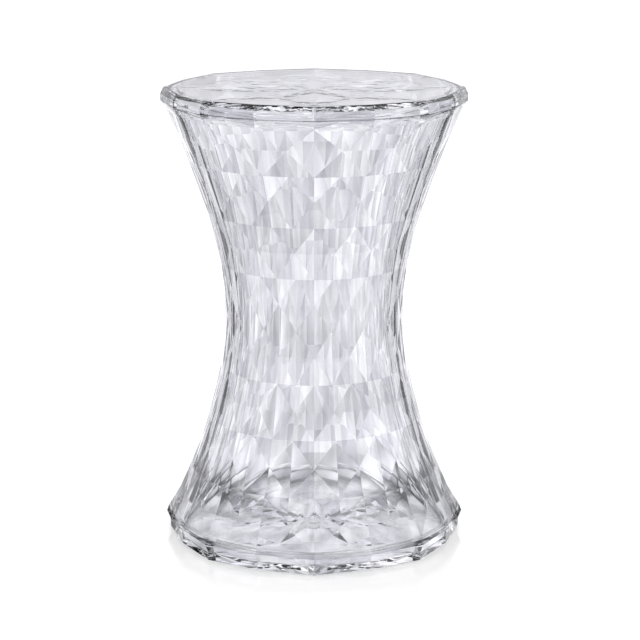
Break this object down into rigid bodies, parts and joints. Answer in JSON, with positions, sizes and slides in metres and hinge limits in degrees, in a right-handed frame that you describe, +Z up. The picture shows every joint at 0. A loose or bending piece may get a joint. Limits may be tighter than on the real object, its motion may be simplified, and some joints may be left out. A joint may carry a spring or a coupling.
{
  "type": "plastic stool",
  "caption": "Clear acrylic hourglass stool: a hollow waisted wall cut with flat diamond facets, closed by a flat seat plate above and a base plate below.",
  "frame": {"origin": "centre of the base plate's underside, where the stool stands on the floor", "axes": "+Z up the axis to the seat; X and Y run through opposite full corners of the rims; the picture looks along +Y"},
  "size_m": [0.3004, 0.3004, 0.45],
  "materials": {
    "wall_acrylic": "polished clear acrylic (PMMA)",
    "seat_acrylic": "polished clear acrylic (PMMA)",
    "base_acrylic": "polished clear acrylic (PMMA)"
  },
  "bodies": {
    "root": {"hourglass_wall": "wall_acrylic", "seat_plate": "seat_acrylic", "base_plate": "base_acrylic"}
  },
  "joints": []
}
